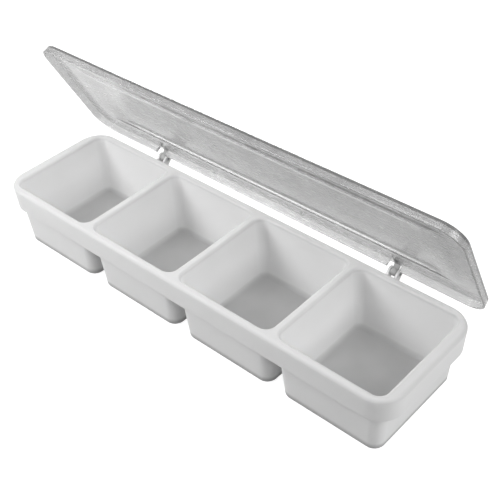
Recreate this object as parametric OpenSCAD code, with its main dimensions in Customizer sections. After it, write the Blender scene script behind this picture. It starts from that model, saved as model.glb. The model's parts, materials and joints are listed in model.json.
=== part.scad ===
// Condiment caddy: a four-tub tray with one clear flip lid.
// X runs along the length, -Y is the front, +Y the hinge side, +Z up.
// The origin is on the surface that the tray stands on, under the middle of the whole caddy
// as it stands with its lid open.

/* [Tray] */
// Length over the rim
tray_l = 400; // [320:1:480]
// Width over the rim, front to back
tray_w = 109; // [90:1:140]
// Height from the table to the top of the rim
tray_h = 59; // [48:1:80]
// Number of tubs in the row
tubs = 4; // [2:1:5]
// Wall thickness of the tubs
wall_t = 2.4; // [1.8:0.1:3]
// Thickness of each tub's floor
floor_t = 2.6; // [2:0.1:4]
// How much each tub side leans in from the rim to the floor, along the tray
taper_x = 4.5; // [3:0.1:7]
// How much the front and back walls lean in from the rim to the floor
taper_y = 3.8; // [2:0.1:6]
// Corner radius inside a tub at the rim
tub_corner_r = 8; // [6:0.5:16]
// Corner radius inside a tub at its floor
floor_corner_r = 6.5; // [5.5:0.5:12]
// Rounding between a tub's wall and its floor, inside
floor_fillet = 3.5; // [2:0.5:5]
// Rounding of a tub's bottom edge, outside
foot_round = 2.5; // [1:0.5:4]

/* [Rim and skirt] */
// Width of the rim's top at each end
rim_end_w = 9.5; // [8:0.1:14]
// Width of the rim's top along the front and back
rim_side_w = 6.4; // [6:0.1:10]
// Width of each divider at the rim
divider_w = 6.8; // [6:0.1:12]
// Height of the skirt that hangs from the rim
skirt_h = 21.5; // [17:0.5:32]
// Thickness of the skirt
skirt_t = 2; // [1.5:0.1:2.6]
// How far the skirt leans in from the rim to its lower edge
skirt_lean = 1.2; // [0.5:0.1:2.5]
// Corner radius of the rim, seen from above
rim_corner_r = 21; // [16:0.5:30]
// Rounding of the rim's outer edge
rim_round = 3; // [1:0.1:3.4]
// Rounding of the edge into each tub
lip_round = 2.2; // [1:0.1:2.8]

/* [Lid] */
// How far the lid stands out past the rim all round
lid_over = 3; // [2.8:0.1:6]
// Corner radius of the lid, seen from above
lid_corner_r = 18; // [12:0.5:24]
// Thickness of the lid's plate
lid_t = 2; // [1.5:0.1:3]
// Thickness of the lid's skirt
lid_skirt_t = 2.1; // [1.5:0.1:2.4]
// Rounding of the lid's top edge
lid_round = 1.2; // [0.5:0.1:1.8]
// Depth of the lid's skirt below the plate
lid_skirt_h = 5; // [3:0.5:9]
// Lean of the lid's skirt, from its lower edge in to the plate
lid_lean = 0.6; // [0:0.1:1]
// Width of the border round the raised panel
border_w = 18; // [14:0.5:26]
// Rise of the panel above the border
panel_rise = 2.3; // [1:0.1:4]
// How far the panel's edge slopes in over its rise
panel_slope = 1.2; // [0.5:0.1:3]
// Corner radius of the raised panel
panel_corner_r = 9; // [5:0.5:14]
// Gap left between the shut lid and the rim
lid_seat_gap = 0.3; // [0.2:0.1:0.6]

/* [Hinge] */
// How far the lid stands open from shut, in degrees
lid_open = 62.5; // [0:0.5:200]
// Distance of each hinge from the middle of the tray
hinge_x = 123; // [90:1:150]
// Distance of the hinge axis behind the rim
axis_back = 8.5; // [8.2:0.1:12]
// Depth of the hinge axis below the top of the rim
axis_drop = 4.3; // [3.5:0.1:6]
// Hinge pin diameter
pin_d = 3; // [2.5:0.1:3.5]
// Gap between the pin and the clip's eye, all round
pin_gap = 0.06; // [0.04:0.01:0.1]
// Width of each clip along the axis
clip_w = 5; // [4:0.5:9]
// Outer diameter of the clip's eye
eye_d = 6.6; // [6:0.1:7.2]
// Thickness of the clip's arm and pad
clip_t = 1.9; // [1.5:0.1:2.5]
// Length of the pad that lies on the lid's border
pad_l = 11; // [9:0.5:13]
// Diameter of the peg that holds the pad to the lid
peg_d = 3.4; // [2.6:0.1:3.8]
// Gap between the peg and its hole in the lid, all round
peg_gap = 0.03; // [0.02:0.01:0.1]
// Distance of the peg behind the pad's front end
peg_in = 4.5; // [3.5:0.1:6]
// Thickness of each ear on the tray
ear_t = 2; // [1.6:0.1:4]
// Diameter of the ear round the pin
ear_d = 7.2; // [6.6:0.1:8]
// Gap between the clip and each ear
ear_gap = 0.3; // [0.2:0.05:0.5]
// Gap between the ears and the sides of the notch in the lid's skirt
notch_gap = 0.7; // [0.5:0.1:1.5]
// Depth of the ears' root below the top of the rim
ear_root_top = 10; // [9:0.5:12]
// Height of the ears' root above the lower edge of the skirt
ear_root_lift = 1; // [0.5:0.5:2.5]

/* [Hidden] */
$fn = 64;

// Finish colours
tray_col = [0.93, 0.93, 0.91];
lid_col = [0.72, 0.73, 0.74, 0.55];
clip_col = [0.62, 0.63, 0.65, 0.8];
pin_col = [0.75, 0.76, 0.78];

// Distance of the origin behind the middle of the tray
origin_y = 7;
// Steps in a quarter turn of a corner and of an edge rounding
corner_steps = 6;
edge_steps = 4;
// Overrun of a cut past the face that it opens
cut_over = 1;

// Tubs: spacing, and the half sizes of one opening at the rim
pitch = (tray_l - 2 * rim_end_w + divider_w) / tubs;
open_x = (pitch - divider_w) / 2;
open_y = tray_w / 2 - rim_side_w;
skirt_z = tray_h - skirt_h;
tub_x = [for (i = [0:tubs - 1]) (i - (tubs - 1) / 2) * pitch];

// Lid, as it lies shut
lid_under = tray_h + lid_seat_gap;
lid_top = lid_under + lid_t;
lid_rim = lid_under - lid_skirt_h;
lid_x = tray_l / 2 + lid_over;
lid_y = tray_w / 2 + lid_over;

// Hinge axis
axis_y = tray_w / 2 + axis_back;
axis_z = tray_h - axis_drop;
ears_w = clip_w + 2 * ear_gap + 2 * ear_t;
notch_w = ears_w + 2 * notch_gap;

// Point at an angle on a quarter circle, used for rounded corners
function arc(cx, cy, r, a0, n) = [for (i = [0:n]) let (a = a0 + 90 * i / n) [cx + r * cos(a), cy + r * sin(a)]];

// Rounded rectangle with half sizes hx and hy, as a closed ring of points
function ring(hx, hy, r) = concat(
    arc(hx - r, hy - r, r, 0, corner_steps), arc(r - hx, hy - r, r, 90, corner_steps),
    arc(r - hx, r - hy, r, 180, corner_steps), arc(hx - r, r - hy, r, 270, corner_steps));

// Solid lofted through rounded rectangles; each level is [z, half x, half y, corner radius]
module loft(levels) {
    n = 4 * (corner_steps + 1);
    m = len(levels);
    points = [for (v = levels) for (p = ring(v[1], v[2], v[3])) [p[0], p[1], v[0]]];
    sides = [for (k = [0:m - 2]) for (i = [0:n - 1]) let (a = k * n + i, b = k * n + (i + 1) % n)
        each [[a, a + n, b], [b, a + n, b + n]]];
    polyhedron(points = points, faces = concat(sides,
        [[for (i = [0:n - 1]) i]], [[for (i = [n - 1:-1:0]) (m - 1) * n + i]]));
}

// Quarter-round steps: [rise, run] pairs from the straight side (0, 0) to the crest (r, r)
function quarter(r) = [for (i = [0:edge_steps]) let (a = 90 * i / edge_steps) [r * sin(a), r * (1 - cos(a))]];

// Outside of the skirt at height z: half sizes and corner radius
function skirt_in(z) = skirt_lean * max(0, tray_h - rim_round - z) / (skirt_h - rim_round);
function skirt_level(z, inset) = let (d = skirt_in(z) + inset)
    [z, tray_l / 2 - d, tray_w / 2 - d, rim_corner_r - d];

// Inside of a tub at height z, let out by a distance on every side
function tub_level(z, out) = let (s = (tray_h - z) / tray_h)
    [z, open_x - taper_x * s + out, open_y - taper_y * s + out,
     tub_corner_r + (floor_corner_r - tub_corner_r) * s + out];

// The rim with its hanging skirt, hollow from below
module rim_and_skirt() {
    difference() {
        loft(concat([skirt_level(skirt_z, 0)],
            [for (q = quarter(rim_round)) skirt_level(tray_h - rim_round + q[0], q[1])]));
        loft([skirt_level(skirt_z - cut_over, skirt_t), skirt_level(tray_h - wall_t, skirt_t)]);
    }
}

// Outer body of one tub, standing on its flat foot
module tub_body() {
    steps = quarter(foot_round);
    loft(concat(
        [for (i = [edge_steps:-1:0]) tub_level(foot_round - steps[i][0], wall_t - steps[i][1])],
        [tub_level(tray_h - wall_t / 2, wall_t)]));
}

// The space inside one tub, with a round lip at the rim and a fillet at the floor
module tub_space() {
    low = quarter(floor_fillet);
    lip = quarter(lip_round);
    loft(concat(
        [for (i = [edge_steps:-1:0]) tub_level(floor_t + floor_fillet - low[i][0], -low[i][1])],
        [for (q = lip) tub_level(tray_h - lip_round + q[0], q[1])],
        [tub_level(tray_h + cut_over, lip_round)]));
}

// Moves a piece from the tray's own centre to the origin
module placed() {
    translate([0, -origin_y, 0]) children();
}

// Tangent point from p to a circle, on its left side (1) or right side (-1) seen from p
function tangent(p, c, r, side) = let (
    d = norm(c - p), a = atan2(c[1] - p[1], c[0] - p[0]) + side * asin(r / d), l = sqrt(d * d - r * r))
    p + l * [cos(a), sin(a)];

// Side outline, drawn with Y to the right and Z up, made into a plate w wide centred on x
module side_plate(x, w) {
    translate([x - w / 2, 0, 0]) rotate([90, 0, 90]) linear_extrude(w) children();
}

// Cylinder along X, centred on x, on the hinge axis
module axis_rod(x, l, d) {
    translate([x - l / 2, axis_y, axis_z]) rotate([0, 90, 0]) cylinder(h = l, d = d);
}

// One ear: a gusset from the back of the skirt to a round eye on the axis
module ear(x) {
    eye = [axis_y, axis_z];
    root_y = tray_w / 2 - skirt_lean - skirt_t / 2;
    root_top = [root_y, tray_h - ear_root_top];
    root_low = [root_y, skirt_z + ear_root_lift];
    difference() {
        union() {
            side_plate(x, ear_t) polygon([root_low, tangent(root_low, eye, ear_d / 2, -1),
                eye, tangent(root_top, eye, ear_d / 2, 1), root_top]);
            axis_rod(x, ear_t, ear_d);
        }
        axis_rod(x, ear_t + 2 * cut_over, pin_d);
    }
}

// The moulded tray
module tray() {
    color(tray_col) placed() {
        difference() {
            union() {
                rim_and_skirt();
                for (x = tub_x) translate([x, 0, 0]) tub_body();
            }
            for (x = tub_x) translate([x, 0, 0]) tub_space();
        }
        for (x = [-hinge_x, hinge_x], s = [-1, 1]) ear(x + s * (ears_w - ear_t) / 2);
    }
}

// Turns a shut lid piece about the hinge axis to where it stands open
module opened() {
    translate([0, axis_y, axis_z]) rotate([-lid_open, 0, 0]) translate([0, -axis_y, -axis_z]) children();
}

// Outline of the lid at height z, drawn in by a distance
function lid_level(z, inset) = [z, lid_x - inset, lid_y - inset, lid_corner_r - inset];
// Outline of the raised panel at height z, drawn in by a distance
function panel_level(z, inset) = [z, lid_x - border_w - inset, lid_y - border_w - inset, panel_corner_r - inset];

// The lid as it lies shut: plate with a raised panel, and a skirt notched at the hinges
module shut_lid() {
    peg_y = lid_y - lid_lean - pad_l + peg_in;
    difference() {
        union() {
            loft(concat([lid_level(lid_rim, 0)],
                [for (q = quarter(lid_round)) lid_level(lid_top - lid_round + q[0], lid_lean + q[1])]));
            loft([panel_level(lid_under, 0), panel_level(lid_top, 0),
                panel_level(lid_top + panel_rise, panel_slope)]);
        }
        loft([lid_level(lid_rim - cut_over, lid_skirt_t), lid_level(lid_under, lid_skirt_t + lid_lean)]);
        loft([panel_level(lid_under - cut_over, lid_t), panel_level(lid_under, lid_t),
            panel_level(lid_under + panel_rise, lid_t + panel_slope)]);
        for (x = [-hinge_x, hinge_x]) {
            translate([x - notch_w / 2, lid_y - lid_skirt_t - 2 * cut_over, lid_rim - cut_over])
                cube([notch_w, lid_skirt_t + 3 * cut_over, lid_skirt_h + cut_over]);
            translate([x, peg_y, lid_under - cut_over]) cylinder(h = lid_t + 2 * cut_over, d = peg_d + 2 * peg_gap);
        }
    }
}

// The clear lid, standing open
module lid() {
    color(lid_col) placed() opened() shut_lid();
}

// One hinge clip: pad and peg on the lid's border, arm over its back edge, eye round the pin
module hinge_clip(x) {
    pad_front = lid_y - lid_lean - pad_l;
    elbow = [lid_y + clip_t / 6, lid_top + clip_t / 2];
    eye = [axis_y, axis_z];
    along = (eye - elbow) / norm(eye - elbow);
    across = clip_t / 2 * [-along[1], along[0]];
    color(clip_col) placed() opened() difference() {
        union() {
            side_plate(x, clip_w) translate([pad_front, lid_top]) square([elbow[0] - pad_front, clip_t]);
            side_plate(x, clip_w) translate(elbow) circle(d = clip_t);
            side_plate(x, clip_w) polygon([elbow + across, elbow - across, eye - across, eye + across]);
            axis_rod(x, clip_w, eye_d);
            translate([x, pad_front + peg_in, lid_under]) cylinder(h = lid_t + clip_t / 2, d = peg_d);
        }
        axis_rod(x, clip_w + 2 * cut_over, pin_d + 2 * pin_gap);
    }
}
module hinge_clip_left() {
    hinge_clip(-hinge_x);
}
module hinge_clip_right() {
    hinge_clip(hinge_x);
}

// One hinge pin, pressed through both ears and flush with their outer faces
module hinge_pin(x) {
    color(pin_col) placed() axis_rod(x, ears_w, pin_d);
}
module hinge_pin_left() {
    hinge_pin(-hinge_x);
}
module hinge_pin_right() {
    hinge_pin(hinge_x);
}

tray();
lid();
hinge_clip_left();
hinge_clip_right();
hinge_pin_left();
hinge_pin_right();
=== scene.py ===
# Condiment caddy: a four-tub tray with one clear flip lid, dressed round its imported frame.
# Lengths are in metres. X runs along the tray, -Y is the front, +Y the hinge side, +Z up.
import json
import math

import bmesh
import bpy
import numpy as np
from mathutils import Matrix, Vector


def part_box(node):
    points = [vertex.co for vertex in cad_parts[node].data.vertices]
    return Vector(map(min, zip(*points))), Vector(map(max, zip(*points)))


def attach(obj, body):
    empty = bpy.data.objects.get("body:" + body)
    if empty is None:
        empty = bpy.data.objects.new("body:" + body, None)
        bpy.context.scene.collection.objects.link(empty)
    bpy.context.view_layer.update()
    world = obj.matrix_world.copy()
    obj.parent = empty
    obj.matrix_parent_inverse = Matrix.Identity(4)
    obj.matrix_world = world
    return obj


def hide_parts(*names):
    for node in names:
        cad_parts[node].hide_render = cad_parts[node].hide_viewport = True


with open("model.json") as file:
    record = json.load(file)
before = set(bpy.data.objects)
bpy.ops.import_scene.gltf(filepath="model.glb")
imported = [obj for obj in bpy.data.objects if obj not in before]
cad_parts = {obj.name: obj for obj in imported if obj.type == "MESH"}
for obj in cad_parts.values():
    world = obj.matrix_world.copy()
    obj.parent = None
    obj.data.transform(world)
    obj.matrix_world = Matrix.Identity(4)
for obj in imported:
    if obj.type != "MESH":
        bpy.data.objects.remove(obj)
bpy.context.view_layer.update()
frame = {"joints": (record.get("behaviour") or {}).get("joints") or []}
MM = 0.001

# Tray
# One injection moulding in off-white, slightly translucent plastic: four tapered tubs hang from a shared
# rim, whose outer edge turns down into a skirt. Every wall is about 2.4 mm thick and every edge is round,
# so that the tray leaves its mould and wipes clean.
tray_low, tray_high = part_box("tray")
tray_half = (tray_high.x - tray_low.x) / 2
tray_top = tray_high.z
tray_width = 109 * MM
tray_middle = tray_low.y + tray_width / 2
tub_count = 4
tub_wall, tub_floor = 2.4 * MM, 2.6 * MM
tub_lean = np.array([4.5, 3.8]) * MM
tub_corner, floor_corner = 8 * MM, 6.5 * MM
floor_fillet, foot_round = 3.5 * MM, 2.5 * MM
rim_end, rim_side, divider = 9.5 * MM, 6.4 * MM, 6.8 * MM
rim_corner, rim_round, lip_round = 21 * MM, 3 * MM, 2.2 * MM
skirt_drop, skirt_wall, skirt_lean = 21.5 * MM, 2 * MM, 1.2 * MM
skirt_edge, root_fillet = 0.7 * MM, 0.8 * MM
tub_pitch = (2 * tray_half - 2 * rim_end + divider) / tub_count
tub_half = np.array([(tub_pitch - divider) / 2, tray_width / 2 - rim_side])

# How finely the tray is divided. The shares say how far across a flat face each ring lies: they crowd
# towards a rounding, so that the flat shades flat. Points nearer to each other than a hair are one.
corner_steps, side_steps, round_steps, small_steps = 14, 12, 7, 4
wall_rings, foot_rings, skirt_rings, lining_rings = 12, 8, 7, 5
floor_shares, lip_shares = [0, 0.15, 0.4, 0.7, 0.95], [0.08, 0.5, 0.92, 1]
ledge_shares, foot_shares = [0, 0.5, 0.9], [0.05, 0.4, 0.8, 1]
hair = 0.002 * MM

# The plastic is neutral in colour, in clouds from dark to light; the top of the rim and the floors and feet
# are painted greyer as shade.
tray_dark, tray_light, rim_painted_shade_grey, floor_painted_shade_grey = ((level,) * 3 for level in (0.73, 0.79, 0.57, 0.41))
# Heights between which the floors and feet are painted darker as shade.
foot_shade_top, foot_shade_low = 8 * MM, 2 * MM
# Heights between which the top of the rim is painted darker as shade.
rim_shade_low, rim_shade_top = tray_top - 4 * MM, tray_top - 0.5 * MM
tray_roughness, light_let_in, light_depth = 0.38, 0.25, 4 * MM


def outline(x0, x1, y0, y1, radii, square, side=None):
    """Closed rounded rectangle, anticlockwise from its right side. Corner k is an arc of radius radii[k]
    about a point that far in from both of its sides; where square[k] is 1 each point of the arc goes on
    outwards, along its own direction, until it meets a side. The straight runs are divided as side says."""
    side = np.linspace(0, 1, side_steps + 1)[1:-1] if side is None else side
    radii, square = np.broadcast_to(radii, 4)[:, None], np.broadcast_to(square, 4)[:, None]
    angle = np.arange(4)[:, None] * np.pi / 2 + np.linspace(0, np.pi / 2, corner_steps + 1)
    way = np.stack([np.cos(angle), np.sin(angle)], -1)
    reach = radii / (1 - square + square * np.abs(way).max(-1))
    centre = np.array([[x1, y1], [x0, y1], [x0, y0], [x1, y0]])
    centre = centre + radii * np.array([[-1, -1], [1, -1], [1, 1], [-1, 1]])
    arcs = centre[:, None] + reach[..., None] * way
    run = np.roll(arcs[:, 0], -1, 0) - arcs[:, -1]
    runs = arcs[:, -1, None] + run[:, None] * side[:, None]
    return np.concatenate([arcs, runs], 1).reshape(-1, 2)


def at(ring, z):
    """The ring of points raised to height z."""
    return np.column_stack([ring, np.broadcast_to(z, len(ring))])


def quarter(radius, steps=round_steps):
    """Quarter circle as (rise, run) pairs: radius times (sin a, 1 - cos a) for a from 0 to 90 degrees."""
    a = np.linspace(0, np.pi / 2, steps + 1)
    return np.column_stack([radius * np.sin(a), radius * (1 - np.cos(a))])


def between(first, last, shares):
    """Rings that go in straight lines from the first ring to the last, at the shares given."""
    return [first + (last - first) * s for s in shares]


def shell(sheets):
    """Points and faces of lofted sheets. A sheet is a list of rings with as many points each; every cell
    between two rings is one face, and the rings run so that, with anticlockwise points, it faces out."""
    points, faces, used = [], [], 0
    for rings in sheets:
        grid = np.array(rings)
        rows, columns = grid.shape[:2]
        index = used + np.arange(rows * columns).reshape(rows, columns)
        after = np.roll(index, -1, 1)
        cells = np.stack([index[:-1], index[1:], after[1:], after[:-1]], -1)
        points.append(grid.reshape(-1, 3))
        faces.append(cells.reshape(-1, 4))
        used += rows * columns
    return np.concatenate(points), np.concatenate(faces)


def piece(name, sheets, material, body, nodes, crease=40):
    """Makes a finished piece: its sheets are welded where they meet, poles included, shaded smooth except
    where faces meet at more than crease degrees, and made to ride on the body in place of its CAD nodes."""
    points, faces = shell(sheets)
    mesh = bpy.data.meshes.new(name)
    mesh.from_pydata(points.tolist(), [], faces.tolist())
    work = bmesh.new()
    work.from_mesh(mesh)
    bmesh.ops.remove_doubles(work, verts=work.verts, dist=hair)
    work.to_mesh(mesh)
    work.free()
    mesh.shade_smooth()
    mesh.set_sharp_from_angle(angle=math.radians(crease))
    mesh.materials.append(material)
    made = bpy.data.objects.new(name, mesh)
    bpy.context.scene.collection.objects.link(made)
    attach(made, body)
    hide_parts(*nodes)


def tub_ring(x, z, out):
    """Inside outline of the tub at x, let out by a distance. It shrinks evenly from the rim to the floor."""
    share = (tray_top - z) / tray_top
    half = tub_half - tub_lean * share + out
    radius = tub_corner + (floor_corner - tub_corner) * share + out
    ring = outline(x - half[0], x + half[0], tray_middle - half[1], tray_middle + half[1], radius, 0)
    return at(ring, z)


def cell_ring(k, z, inset):
    """Outline of the part of the rim round tub k: square where it meets the next tub's part, and with the
    rim's own round corners at the tray's two ends. Its outer sides are drawn in by inset."""
    first, last = k == 0, k == tub_count - 1
    x = (k - tub_count / 2) * tub_pitch
    x0 = -tray_half + inset if first else x
    x1 = tray_half - inset if last else x + tub_pitch
    right, left = (rim_corner - inset if end else tub_corner for end in (last, first))
    square = np.array([not last, not first, not first, not last], float)
    wide = tray_width / 2 - inset
    radii = np.array([right, left, left, right])
    return at(outline(x0, x1, tray_middle - wide, tray_middle + wide, radii, square), z)


def rim_ring(z, inset):
    """Outline of the whole rim: the outer points of all the cells, sorted by their angle round the tray."""
    cells = np.concatenate([cell_ring(k, z, inset) for k in range(tub_count)])
    plain = np.concatenate([cell_ring(k, z, 0) for k in range(tub_count)])
    inner_x = np.abs(plain[:, 0]) < tray_half - rim_corner
    on_side = np.abs(np.abs(plain[:, 1] - tray_middle) - tray_width / 2) < hair
    outer = np.flatnonzero(on_side | ~inner_x)
    angle = np.arctan2(plain[outer, 1] - tray_middle, plain[outer, 0])
    angle_digits = 6
    _, order = np.unique(np.round(angle, angle_digits), return_index=True)
    return cells[outer[order]]


def tub_sheets(k):
    """The two faces of one tub: inside from the floor's middle up over the lip and out to the cell's edge,
    and underneath from the cell's edge in to the tub's wall and down it to the middle of its foot."""
    x = (k - (tub_count - 1) / 2) * tub_pitch
    floor = tub_ring(x, tub_floor, -floor_fillet)
    middle = at(np.broadcast_to([x, tray_middle], (len(floor), 2)), tub_floor)
    floor_edge, lip_low = tub_floor + floor_fillet, tray_top - lip_round
    lip_top = tub_ring(x, tray_top, lip_round)
    inside = between(middle, floor, floor_shares)
    inside += [tub_ring(x, floor_edge - rise, -run) for rise, run in quarter(floor_fillet)[::-1]]
    inside += [tub_ring(x, z, 0) for z in np.linspace(floor_edge, lip_low, wall_rings)[1:-1]]
    inside += [tub_ring(x, lip_low + rise, run) for rise, run in quarter(lip_round)]
    inside += between(lip_top, cell_ring(k, tray_top, rim_round), lip_shares)
    under = tray_top - tub_wall
    root = under - root_fillet
    join = tub_ring(x, under, tub_wall + root_fillet)
    foot = tub_ring(x, 0, tub_wall - foot_round)
    outside = between(cell_ring(k, under, skirt_wall + root_fillet), join, ledge_shares)
    root_turn = quarter(root_fillet, small_steps)[::-1]
    outside += [tub_ring(x, root + rise, tub_wall + run) for rise, run in root_turn]
    outside += [tub_ring(x, z, tub_wall) for z in np.linspace(root, foot_round, foot_rings)[1:-1]]
    outside += [tub_ring(x, foot_round - rise, tub_wall - run) for rise, run in quarter(foot_round)]
    outside += between(foot, at(middle[:, :2], 0), foot_shares)
    return [inside, outside]


def skirt_sheet():
    """The outer face from the rim's edge over its rounding and down the skirt, round the skirt's lower edge,
    and up its inside to the underside of the rim. It leans in evenly as it goes down."""
    shoulder = tray_top - rim_round
    foot = tray_top - skirt_drop
    edge_top = foot + skirt_edge
    under = tray_top - tub_wall - root_fillet

    def leaning(z, inset):
        return rim_ring(z, inset + skirt_lean * max(0, shoulder - z) / (shoulder - foot))

    over = [rim_ring(shoulder + rise, run) for rise, run in quarter(rim_round)[::-1]]
    down = [leaning(z, 0) for z in np.linspace(shoulder, edge_top, skirt_rings)[1:-1]]
    turn = quarter(skirt_edge, small_steps)
    edge = [leaning(edge_top - rise, run) for rise, run in turn]
    edge += [leaning(edge_top - rise, skirt_wall - run) for rise, run in turn[::-1]]
    up = [leaning(z, skirt_wall) for z in np.linspace(edge_top, under, lining_rings)[1:-1]]
    up += [leaning(under + rise, skirt_wall + run) for rise, run in quarter(root_fillet, small_steps)]
    return over + down + edge + up


class Value:
    """The output of a node in a material. Arithmetic on it adds the Math nodes."""

    def __init__(self, finish, socket):
        self.finish, self.socket = finish, socket

    def maths(self, operation, other):
        return self.finish.add("ShaderNodeMath", {"operation": operation}, {0: self, 1: other})

    def __add__(self, other):
        return self.maths("ADD", other)

    def __mul__(self, other):
        return self.maths("MULTIPLY", other)

    __radd__, __rmul__ = __add__, __mul__


class Finish:
    """A material, or a world, and the nodes in it."""

    def __init__(self, name, kind=bpy.data.materials):
        self.material = kind.new(name)
        self.material.use_nodes = True
        self.tree = self.material.node_tree
        self.tree.nodes.clear()

    def add(self, kind, settings=None, inputs=None, output=0):
        """Adds a node: its settings first, then its inputs, as numbers, colours or other nodes' outputs."""
        node = self.tree.nodes.new(kind)
        for key, setting in (settings or {}).items():
            setattr(node, key, setting)
        for key, given in (inputs or {}).items():
            if isinstance(given, Value):
                self.tree.links.new(given.socket, node.inputs[key])
            else:
                node.inputs[key].default_value = given
        return Value(self, node.outputs[output]) if node.outputs else None

    def place(self):
        """The point of the surface in the object's own coordinates."""
        return self.add("ShaderNodeTexCoord", output="Object")

    def noise(self, scale, detail, roughness=0.5, vector=None):
        """Cloudy noise from 0 to 1, with scale waves to the metre."""
        inputs = {"Vector": vector or self.place(), "Scale": scale, "Detail": detail, "Roughness": roughness}
        return self.add("ShaderNodeTexNoise", {}, inputs)

    def ramp(self, value, low, high, kind="SMOOTHSTEP"):
        """0 where the value is at low and 1 where it is at high, with a smooth or straight way between."""
        inputs = {"Value": value, "From Min": low, "From Max": high}
        return self.add("ShaderNodeMapRange", {"interpolation_type": kind}, inputs)

    def tint(self, share, first, second):
        """Colour between two others, by a share from 0 to 1."""
        colours = [c if isinstance(c, Value) else (*c, 1) for c in (first, second)]
        first_colour, second_colour, mixed = 6, 7, 2
        inputs = {"Factor": share, first_colour: colours[0], second_colour: colours[1]}
        return self.add("ShaderNodeMix", {"data_type": "RGBA"}, inputs, mixed)

    def seen(self):
        """1 for what the camera sees, straight, in a gloss or through a clear piece, 0 for other light."""
        camera, gloss, clear = (self.add("ShaderNodeLightPath", output=f"Is {ray} Ray")
                                for ray in ("Camera", "Glossy", "Transmission"))
        return camera.maths("MAXIMUM", gloss).maths("MAXIMUM", clear)

    def bump(self, height, strength, distance=MM):
        """Normal of a surface raised by height."""
        return self.add("ShaderNodeBump", {}, {"Strength": strength, "Distance": distance, "Height": height})

    def shader(self, depth=0, passed=0, **inputs):
        """The main shader, linked to the material's output. A clear body takes up light at depth per metre,
        and its faces let the lamps' light through at the level passed, so that its shadow is a pale one."""
        inputs = {key.replace("_", " "): given for key, given in inputs.items()}
        made = {"Surface": self.add("ShaderNodeBsdfPrincipled", {}, inputs)}
        if passed:
            shadow = self.add("ShaderNodeLightPath", output="Is Shadow Ray")
            clear = self.add("ShaderNodeBsdfTransparent", {}, {"Color": (passed, passed, passed, 1)})
            made["Surface"] = self.add("ShaderNodeMixShader", {}, {0: shadow, 1: made["Surface"], 2: clear})
        if depth:
            taken = 0.5
            inputs = {"Color": (taken, taken, taken, 1), "Density": depth / taken}
            made["Volume"] = self.add("ShaderNodeVolumeAbsorption", {}, inputs)
        self.add("ShaderNodeOutputMaterial", {}, made)
        return self.material


def tray_plastic():
    """Off-white moulded plastic: faint clouds in its colour, a fine spark-eroded grain and a few dull
    patches. The floors and feet are rougher and are painted darker as shade, and the top of the rim is
    painted a little darker as shade."""
    finish = Finish("tray_plastic")
    cloud = finish.noise(scale=22, detail=2)
    grain = finish.noise(scale=2600, detail=2)
    wave = finish.noise(scale=35, detail=1)
    worn = finish.noise(scale=90, detail=5, roughness=0.65)
    height = finish.add("ShaderNodeSeparateXYZ", {}, {"Vector": finish.place()}, output="Z")
    # Painted shade: the colour darkens towards the tub floors and feet, which also get rougher.
    foot = finish.ramp(height, foot_shade_top, foot_shade_low)
    # Painted shade: the top of the rim is tinted greyer, and a little rougher.
    rim_shade_mask = finish.ramp(height, rim_shade_low, rim_shade_top)
    rim_shaded_colour = finish.tint(rim_shade_mask, finish.tint(cloud, tray_dark, tray_light), rim_painted_shade_grey)
    return finish.shader(
        Base_Color=finish.tint(foot * (0.75 + cloud * 0.5), rim_shaded_colour, floor_painted_shade_grey),
        Roughness=worn * 0.16 + foot * 0.1 + rim_shade_mask * 0.08 + tray_roughness,
        Normal=finish.bump(grain * 0.02 + wave * 0.6, strength=0.25),
        Subsurface_Weight=light_let_in,
        Subsurface_Radius=(1, 1, 1),
        Subsurface_Scale=light_depth,
    )


# The ears: two pairs of gussets moulded on the back of the skirt, each ending in a round eye for a pin.
hinge = frame["joints"][0]
axis_y, axis_z = hinge["pos_m"][1], hinge["pos_m"][2]
clip_low, clip_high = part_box("hinge_clip_right")
hinge_x = (clip_low.x + clip_high.x) / 2
pin_low, pin_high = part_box("hinge_pin_right")
pin_half, pin_radius = (pin_high.x - pin_low.x) / 2, (pin_high.z - pin_low.z) / 2
ear_thick, ear_radius, ear_edge = 2 * MM, 3.6 * MM, 0.35 * MM
ear_out = pin_half - ear_thick / 2
ear_root_top, ear_root_low = tray_top - 10 * MM, tray_top - skirt_drop + 1 * MM
ear_root_y = tray_middle + tray_width / 2 - skirt_lean - skirt_wall / 2
ear_arc_points, ear_edge_steps = 33, 3


def ear_ring(x, inset):
    """Outline of an ear at x, as seen from its side: an arc about the axis, and the two straight lines that
    touch it and run to the ear's root. Drawn in by inset; the root stays put, inside the skirt's wall."""
    eye = np.array([axis_y, axis_z])
    root = np.array([[ear_root_y, ear_root_low + inset], [ear_root_y, ear_root_top - inset]])
    span = np.linalg.norm(eye - root, axis=1)
    line = np.arctan2(*(eye - root).T[::-1])
    swing = np.arccos((ear_radius - inset) / span)
    start, stop = line[0] + np.pi + swing[0], line[1] + 3 * np.pi - swing[1]
    angle = np.linspace(start, stop, ear_arc_points)
    arc = eye + (ear_radius - inset) * np.column_stack([np.cos(angle), np.sin(angle)])
    loop = np.concatenate([between(root[0], arc[0], [0, 0.5]), arc, between(arc[-1], root[1], [0.5, 1])])
    return np.column_stack([np.broadcast_to(x, len(loop)), loop])


def ear_sheet(x):
    """An ear: its outline carried along -X through its thickness, with rounded edges, and closed at poles."""
    half = ear_thick / 2
    turn = quarter(ear_edge, ear_edge_steps)
    walls = [ear_ring(x + half - ear_edge + rise, run) for rise, run in turn[::-1]]
    walls += [ear_ring(x - half + ear_edge - rise, run) for rise, run in turn]
    pole = np.array([0, *ear_ring(x, 0)[:, 1:].mean(0)])
    ends = [np.broadcast_to(pole + [side, 0, 0], walls[0].shape) for side in (x + half, x - half)]
    return [ends[0], *walls, ends[1]]


ears = [ear_sheet(side * hinge_x + out) for side in (-1, 1) for out in (-ear_out, ear_out)]
tubs = [sheet for k in range(tub_count) for sheet in tub_sheets(k)]
piece("caddy_tray", [*tubs, skirt_sheet(), *ears], tray_plastic(), "tray", ["tray"])

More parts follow.
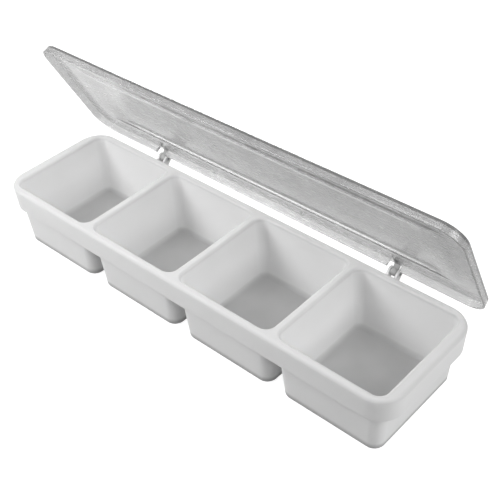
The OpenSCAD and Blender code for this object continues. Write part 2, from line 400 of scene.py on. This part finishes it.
# Hinge pins
# Two short lengths of bright steel wire, cut with a small chamfer at each end. Each is pressed through a
# pair of ears and ends flush with their outer faces; the clip turns on it between them.
pin_chamfer = 0.3 * MM
turned_points = 48
steel_dark, steel_bright = (0.62, 0.63, 0.64), (0.78, 0.785, 0.79)
line_stretch = (0.05, 1, 1)


def turned(x, radii):
    """Rings about the hinge axis, one for each place along X and its radius, clockwise as seen from +X."""
    angle = np.linspace(2 * np.pi, 0, turned_points, endpoint=False)
    ring = np.stack([np.cos(angle), np.sin(angle)], -1)
    return [np.column_stack([np.full(len(angle), a), r * ring + [axis_y, axis_z]]) for a, r in zip(x, radii)]


def pin_steel():
    """Drawn steel wire: fine lines along its length and a soft shine."""
    finish = Finish("pin_steel")
    stretched = finish.add("ShaderNodeMapping", {}, {"Vector": finish.place(), "Scale": line_stretch})
    lines = finish.noise(scale=9000, detail=2, vector=stretched)
    return finish.shader(
        Base_Color=finish.tint(lines, steel_dark, steel_bright),
        Roughness=lines * 0.2 + 0.2,
        Metallic=1.0,
        Normal=finish.bump(lines, strength=0.15, distance=0.1 * MM),
    )


steel = pin_steel()
pin_shank, pin_nose = pin_half - pin_chamfer, pin_radius - pin_chamfer
pin_places = np.array([-pin_half, -pin_half, -pin_shank, 0, pin_shank, pin_half, pin_half])
pin_radii = np.array([0, pin_nose, pin_radius, pin_radius, pin_radius, pin_nose, 0])
for name, side in (("left", -1), ("right", 1)):
    sheet = turned(side * hinge_x + pin_places, pin_radii)
    piece(f"steel_pin_{name}", [sheet], steel, "tray", [f"hinge_pin_{name}"], crease=30)

# Lid
# One clear moulding with a grey cast: a raised panel, whose edge is short on the hinge side and soft round
# the rest, a flat border, and a short skirt that drops over the tray's rim, with a notch over each hinge.
# It is shaped shut here, then turned open about the hinge.
open_angle = math.radians(hinge["range_deg"][0])
lid_low, lid_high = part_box("lid")
lid_half = (lid_high.x - lid_low.x) / 2
lid_over = lid_half - tray_half
lid_width = tray_width / 2 + lid_over
lid_plate, lid_skirt_wall, lid_skirt_drop, lid_lean = 2 * MM, 2.1 * MM, 5 * MM, 0.6 * MM
lid_under = tray_top + 0.3 * MM
lid_top = lid_under + lid_plate
lid_corner, lid_round, lid_edge = 18 * MM, 1.2 * MM, 0.6 * MM
panel_border, panel_rise, panel_corner = 18 * MM, 2.3 * MM, 9 * MM
hinge_slope, free_slope, end_slope = 1.4 * MM, 14 * MM, 30 * MM
notch_half, notch_side = pin_half + 0.7 * MM, 0.25 * MM

# How finely the lid is divided, from its middle outwards above and back again below.
lid_stops, slope_rings, brow_steps = 41, 13, 5
plate_rings, lid_skirt_rings = 3, 4
panel_shares = [0, 0.2, 0.45, 0.7, 0.9, 0.985]
border_shares, inner_shares = [0.05, 0.5, 0.96], [0.04, 0.5, 0.95]

lid_dark, lid_hazy = (0.41,) * 3, (0.88,) * 3
lid_roughness, lid_clear, lid_index = 0.11, 0.82, 1.49
lid_absorption, lid_shadow = 80, 0.75
scuff_turn, scuff_stretch = (0, 0, 0.1), (0.06, 1, 1)


def lid_stations():
    """How the lid's long sides are divided: evenly, and close together at both edges of each notch."""
    run = lid_half - lid_corner
    edges = [s * hinge_x + e * (notch_half + d) for s in (-1, 1) for e in (-1, 1) for d in (0, notch_side)]
    even = np.linspace(-run, run, lid_stops)[1:-1]
    even = even[np.abs(np.abs(even) - hinge_x) > notch_half + 2 * notch_side]
    return (np.sort(np.concatenate([even, edges])) + run) / (2 * run)


lid_side = lid_stations()


def lid_ring(z, inset):
    """Outline of the shut lid at height z, drawn in by inset. Below the plate the skirt fades to nothing
    across each notch, on the hinge side."""
    wide = lid_width - inset
    ring = outline(inset - lid_half, lid_half - inset, tray_middle - wide, tray_middle + wide,
                   lid_corner - inset, 0, lid_side)
    apart = np.abs(np.abs(ring[:, 0]) - hinge_x)
    hinge_side = ring[:, 1] > tray_middle + lid_width / 2
    cut = hinge_side * np.clip(1 - (apart - notch_half) / notch_side, 0, 1)
    return at(ring, np.where(z < lid_under, z + (lid_under - z) * cut, z))


def panel_ring(z, inset, share=0.0):
    """Outline of the raised panel at height z, drawn in by inset and by a share of each side's own slope."""
    x = lid_half - panel_border - inset - end_slope * share
    y = lid_width - panel_border - inset
    ring = outline(-x, x, tray_middle - y + free_slope * share, tray_middle + y - hinge_slope * share,
                   panel_corner - inset - hinge_slope * share, 0, lid_side)
    return at(ring, z)


def panel_edge(base, inset, order):
    """Rings up the panel's sloping edge from the border at height base: an S-shaped rise of panel_rise,
    3 s squared - 2 s cubed, which is short along the hinge side, soft along the free side and long at the
    two ends. An order of -1 gives them from the top down."""
    s = np.linspace(0, 1, slope_rings)
    ease = 3 * s**2 - 2 * s**3
    return [panel_ring(base + panel_rise * e, inset, t) for e, t in zip(ease, s)][::order]


def lid_sheet():
    """The lid's whole face: from the middle of the panel out over its edge and the border, round the skirt
    and back underneath to the middle."""
    crest, hollow = lid_top + panel_rise, lid_under + panel_rise
    top_panel, low_panel = panel_ring(crest, 0, 1), panel_ring(hollow, lid_plate, 1)
    middle = np.broadcast_to([0, tray_middle], (len(top_panel), 2))
    shoulder, foot = lid_top - lid_round, lid_under - lid_skirt_drop
    edge_top = foot + lid_edge

    def leaning(z, inset):
        return lid_ring(z, inset + lid_lean * min(1, (z - foot) / (shoulder - foot)))

    sheet = between(at(middle, crest), top_panel, panel_shares)
    sheet += panel_edge(lid_top, 0, -1)
    sheet += between(panel_ring(lid_top, 0), lid_ring(lid_top, lid_lean + lid_round), border_shares)
    sheet += [leaning(shoulder + rise, run) for rise, run in quarter(lid_round, brow_steps)[::-1]]
    sheet += [leaning(z, 0) for z in np.linspace(shoulder, lid_under, plate_rings)[1:]]
    sheet += [leaning(z, 0) for z in np.linspace(lid_under, edge_top, lid_skirt_rings)[1:-1]]
    turn = quarter(lid_edge, small_steps)
    sheet += [leaning(edge_top - rise, run) for rise, run in turn]
    sheet += [leaning(edge_top - rise, lid_skirt_wall - run) for rise, run in turn[::-1]]
    sheet += [leaning(z, lid_skirt_wall) for z in np.linspace(edge_top, lid_under, lid_skirt_rings)[1:]]
    sheet += between(leaning(lid_under, lid_skirt_wall), panel_ring(lid_under, lid_plate), inner_shares)
    sheet += panel_edge(lid_under, lid_plate, 1)
    sheet += between(low_panel, at(middle, hollow), [1 - share for share in panel_shares[::-1]])
    return sheet


def opened(rings):
    """Rings turned about the hinge axis from shut to where the lid stands open."""
    c, s = math.cos(open_angle), math.sin(open_angle)
    axis = np.array([0, axis_y, axis_z])
    turn = np.array([[1, 0, 0], [0, c, -s], [0, s, c]])
    return [(ring - axis) @ turn.T + axis for ring in rings]


def lid_plastic():
    """Clear plastic with a grey cast, dulled by wiping: clouds of haze, fine scuffs that run along the lid,
    and a few scratches among them. More than half of the lamps' light goes through it to the tray."""
    finish = Finish("lid_plastic")
    place = {"Vector": finish.place(), "Rotation": scuff_turn, "Scale": scuff_stretch}
    drawn = finish.add("ShaderNodeMapping", {}, place)
    scuff = finish.noise(scale=420, detail=5, roughness=0.65, vector=drawn)
    scratch = finish.ramp(finish.noise(scale=900, detail=2, vector=drawn), 0.58, 0.7, "LINEAR")
    haze = finish.noise(scale=30, detail=4, roughness=0.6)
    dull = haze * 0.5 + scuff * 0.4 + scratch * 0.15 + 0.02
    return finish.shader(
        depth=lid_absorption,
        passed=lid_shadow,
        Base_Color=finish.tint(dull, lid_dark, lid_hazy),
        Roughness=haze * 0.1 + scuff * 0.08 + scratch * 0.1 + lid_roughness,
        Normal=finish.bump(scuff * 0.06 + haze, strength=0.1, distance=0.3 * MM),
        Transmission_Weight=lid_clear,
        IOR=lid_index,
    )


piece("clear_lid", [opened(lid_sheet())], lid_plastic(), "lid", ["lid"])

# Hinge clips
# Two small grey straps, moulded flexible. The pad lies on the lid's border and is held by a peg through it,
# and the arm bends over the lid's edge to a round eye that turns on the pin.
clip_half = (clip_high.x - clip_low.x) / 2
clip_thick, clip_edge, clip_eye = 1.9 * MM, 0.4 * MM, 3.3 * MM
pad_long, pad_z = 11 * MM, lid_top + clip_thick / 2
pad_front = tray_middle + lid_width - lid_lean - pad_long
elbow_y, elbow_round = tray_middle + lid_width + clip_thick / 6, 2 * MM
peg_behind, peg_radius, peg_chamfer = 4.5 * MM, 1.7 * MM, 0.2 * MM
bore_radius = pin_radius + 0.06 * MM
pad_points, bend_points, nose_steps, peg_points = 6, 9, 6, 40
clip_dark, clip_light, clip_roughness = (0.34,) * 3, (0.42,) * 3, 0.3


def strap_path():
    """The strap's middle line, seen from the side: along the pad, round a bend of radius elbow_round and down
    the arm towards the axis, stopping inside the eye's wall."""
    eye = np.array([axis_y, axis_z])
    elbow = np.array([elbow_y, pad_z])
    arm = (eye - elbow) / np.linalg.norm(eye - elbow)
    bend = math.acos(arm[0])
    bend_y = elbow_y - elbow_round * math.tan(bend / 2)
    angle = np.linspace(0, bend, bend_points)
    curve = np.column_stack([np.sin(angle), np.cos(angle) - 1]) * elbow_round + [bend_y, pad_z]
    pad_y = np.linspace(pad_front + clip_thick / 2, bend_y, pad_points)[:-1]
    pad = np.column_stack([pad_y, np.full(len(pad_y), pad_z)])
    stop = eye - arm * (pin_radius + clip_eye) / 2
    return np.concatenate([pad, curve, [(curve[-1] + stop) / 2, stop]])


def strap_sheet(x):
    """A rounded bar as wide as the clip, carried along the strap's path square to it, with a round nose."""
    path = strap_path()
    heading = np.gradient(path, axis=0)
    heading /= np.linalg.norm(heading, axis=1)[:, None]
    section = outline(-clip_half, clip_half, -clip_thick / 2, clip_thick / 2, clip_edge, 0)

    def across(point, way, share=1.0, width=1.0):
        up = np.array([-way[1], way[0]])
        flat = point + section[:, 1, None] * share * up
        return np.column_stack([x + section[:, 0] * width, flat])

    front = [across(path[0] - [rise, 0], heading[0], 1 - 2 * run / clip_thick, 1 - run / clip_half / 2)
             for rise, run in quarter(clip_thick / 2, nose_steps)[::-1]]
    bar = [across(p, w) for p, w in zip(path[1:], heading[1:])]
    return [*front, *bar, np.broadcast_to([x, *path[-1]], front[0].shape)]


def eye_sheet(x):
    """The eye: a rounded ring about the pin, as wide as the clip."""
    turn = quarter(clip_edge, small_steps)
    outer = [(x - clip_half + clip_edge - rise, clip_eye - run) for rise, run in turn[::-1]]
    outer += [(x + clip_half - clip_edge + rise, clip_eye - run) for rise, run in turn]
    inner = [(x + clip_half, bore_radius), (x - clip_half, bore_radius)]
    return turned(*zip(inner[1], *outer, *inner))


def peg_sheet(x):
    """The peg under the pad, with a small chamfer where it ends flush with the underside of the lid."""
    angle = np.linspace(0, 2 * np.pi, peg_points, endpoint=False)
    ring = np.column_stack([np.cos(angle), np.sin(angle)])
    centre = [x, pad_front + peg_behind]
    shank = [(pad_z, peg_radius), (lid_under + peg_chamfer, peg_radius)]
    places = [(pad_z, 0), *shank, (lid_under, peg_radius - peg_chamfer), (lid_under, 0)]
    return [at(centre + r * ring, z) for z, r in places]


def clip_plastic():
    """Tough grey plastic with a satin skin and a faint mould texture."""
    finish = Finish("clip_plastic")
    cloud = finish.noise(scale=300, detail=2)
    grain = finish.noise(scale=4000, detail=2)
    return finish.shader(
        Base_Color=finish.tint(cloud, clip_dark, clip_light),
        Roughness=cloud * 0.15 + clip_roughness,
        Normal=finish.bump(grain, strength=0.1, distance=0.1 * MM),
    )


grey = clip_plastic()
for name, side in (("left", -1), ("right", 1)):
    x = side * hinge_x
    sheets = [opened(rings) for rings in (strap_sheet(x), eye_sheet(x), peg_sheet(x))]
    piece(f"lid_clip_{name}", sheets, grey, "lid", [f"hinge_clip_{name}"])

# Floor, light and camera
# A plain white studio: a pale floor that keeps the tray's soft shadow, a soft lamp at the front left, a large
# one far off to the right, a small one above and a weak one behind, and a white surround that the camera and
# the plastic see. The camera stands where the photograph was taken from.
floor_half = 4.0
paper_lit, paper_seen = (0.35,) * 3, (1, 1, 1)
glow_share, glow = 0.7, 1.36
surround_level = 0.95
photo_pixels, sensor_width = 500, 36


def studio_floor():
    """A wide flat sheet under the tray, whose paper looks white wherever no shadow falls on it."""
    mesh = bpy.data.meshes.new("floor")
    corners = [(x * floor_half, y * floor_half, 0) for x, y in ((-1, -1), (1, -1), (1, 1), (-1, 1))]
    mesh.from_pydata(corners, [], [(0, 1, 2, 3)])
    made = bpy.data.objects.new("floor", mesh)
    bpy.context.scene.collection.objects.link(made)
    finish = Finish("paper")
    seen = finish.seen()
    paper = finish.add("ShaderNodeBsdfDiffuse", {}, {"Color": finish.tint(seen, paper_lit, paper_seen)})
    white = finish.add("ShaderNodeEmission", {}, {"Strength": glow})
    surface = finish.add("ShaderNodeMixShader", {}, {0: seen * glow_share, 1: paper, 2: white})
    finish.add("ShaderNodeOutputMaterial", {}, {"Surface": surface})
    mesh.materials.append(finish.material)


def soft_lamp(name, azimuth, elevation, distance, size, power):
    """A square lamp that faces the tray from a direction, in degrees round from the front and up."""
    a, e = math.radians(azimuth), math.radians(elevation)
    way = Vector((math.sin(a) * math.cos(e), -math.cos(a) * math.cos(e), math.sin(e)))
    lamp = bpy.data.lights.new(name, "AREA")
    lamp.shape, lamp.size, lamp.energy = "SQUARE", size, power
    made = bpy.data.objects.new(name, lamp)
    made.location = way * distance
    made.rotation_euler = way.to_track_quat("Z", "Y").to_euler()
    made.visible_camera = False
    bpy.context.scene.collection.objects.link(made)


def surround():
    """A white surround that the camera, a gloss or a clear piece sees, and that lights nothing."""
    finish = Finish("surround", bpy.data.worlds)
    bpy.context.scene.world = finish.material
    inputs = {"Color": (1, 1, 1, 1), "Strength": finish.seen() * surround_level}
    back = finish.add("ShaderNodeBackground", {}, inputs)
    finish.add("ShaderNodeOutputWorld", {}, {"Surface": back})


def photo_camera(azimuth, elevation, distance, target, roll, focal_pixels):
    """A camera at the photograph's angle. The focal length is given in pixels of the photograph's frame."""
    a, e, r = (math.radians(v) for v in (azimuth, elevation, roll))
    back = np.array([math.sin(a) * math.cos(e), -math.cos(a) * math.cos(e), math.sin(e)])
    right = np.cross(-back, [0, 0, 1])
    right /= np.linalg.norm(right)
    up = np.cross(right, -back)
    right, up = math.cos(r) * right + math.sin(r) * up, math.cos(r) * up - math.sin(r) * right
    camera = bpy.data.cameras.new("camera")
    camera.sensor_width = sensor_width
    camera.lens = focal_pixels / photo_pixels * sensor_width
    camera.clip_start, camera.clip_end = 0.01, 50
    made = bpy.data.objects.new("camera", camera)
    matrix = np.eye(4)
    matrix[:3, :3] = np.column_stack([right, up, back])
    matrix[:3, 3] = np.array(target) + back * distance
    made.matrix_world = Matrix(matrix.tolist())
    bpy.context.scene.collection.objects.link(made)
    bpy.context.scene.camera = made


studio_floor()
surround()
soft_lamp("left lamp", azimuth=-38, elevation=40, distance=0.8, size=0.45, power=4.9)
soft_lamp("right lamp", azimuth=88, elevation=36, distance=1.8, size=1.2, power=23.5)
soft_lamp("top lamp", azimuth=0, elevation=80, distance=0.7, size=0.3, power=1.2)
soft_lamp("back lamp", azimuth=218, elevation=18, distance=0.9, size=0.4, power=3.5)
photo_camera(
    azimuth=43.712,
    elevation=39.43,
    distance=0.77641,
    target=(-0.00001, 0.029841, 0.0292),
    roll=-3.155,
    focal_pixels=951.42,
)
bpy.context.scene.view_settings.view_transform = "Standard"
